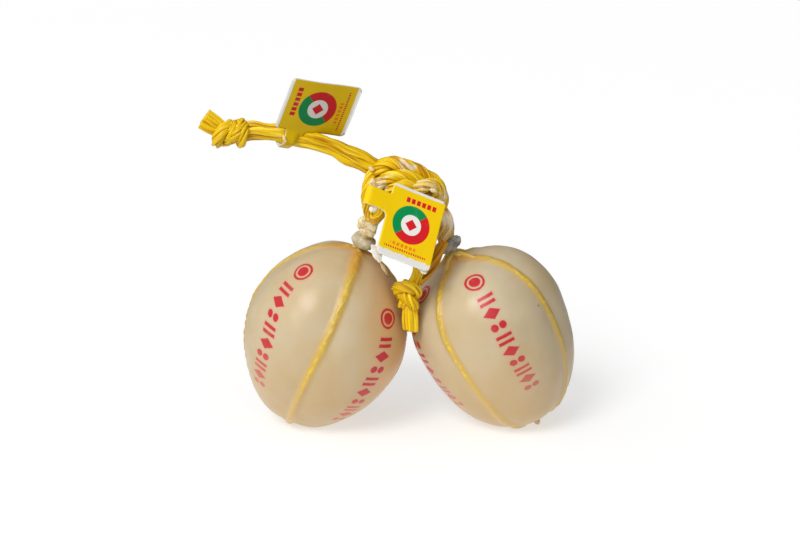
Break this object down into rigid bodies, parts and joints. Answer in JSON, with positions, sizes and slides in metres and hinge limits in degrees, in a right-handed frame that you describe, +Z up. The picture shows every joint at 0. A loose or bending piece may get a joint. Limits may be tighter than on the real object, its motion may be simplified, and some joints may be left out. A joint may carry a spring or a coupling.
{
  "type": "tied pair of provolone cheeses",
  "caption": "Small plump provolone cheeses in glossy wax, tied with twine, clipped at the neck and joined by a big rope knot with loose tails and card tags.",
  "frame": {"origin": "on the standing plane, under the middle of the tied pair without its loose rope tails", "axes": "+X to the right along the pair, +Z up, the front with the tag faces -Y"},
  "size_m": [0.1686, 0.0743, 0.1636],
  "materials": {
    "wax": "glossy translucent ivory wax",
    "twine": "yellow polypropylene twine under clear wax",
    "rope": "shiny fibrillated yellow polypropylene ribbons",
    "waxed_rope": "twine soaked in cream wax",
    "clip": "dull grey crimped metal with wax on it",
    "card": "glossy printed card with white margins"
  },
  "bodies": {
    "root": {"cheese_left": "wax", "cheese_right": "wax", "twine_left": "twine", "twine_right": "twine", "clip_left": "clip", "clip_right": "clip", "main_knot": "rope", "neck_rope_left": "waxed_rope", "neck_rope_right": "waxed_rope", "tail_upper": "rope", "tail_upper_knot": "rope", "tail_upper_end": "rope", "tail_front": "rope", "tail_front_knot": "rope", "tail_front_end": "rope", "tag_front": "card", "tag_upper": "card"}
  },
  "joints": []
}
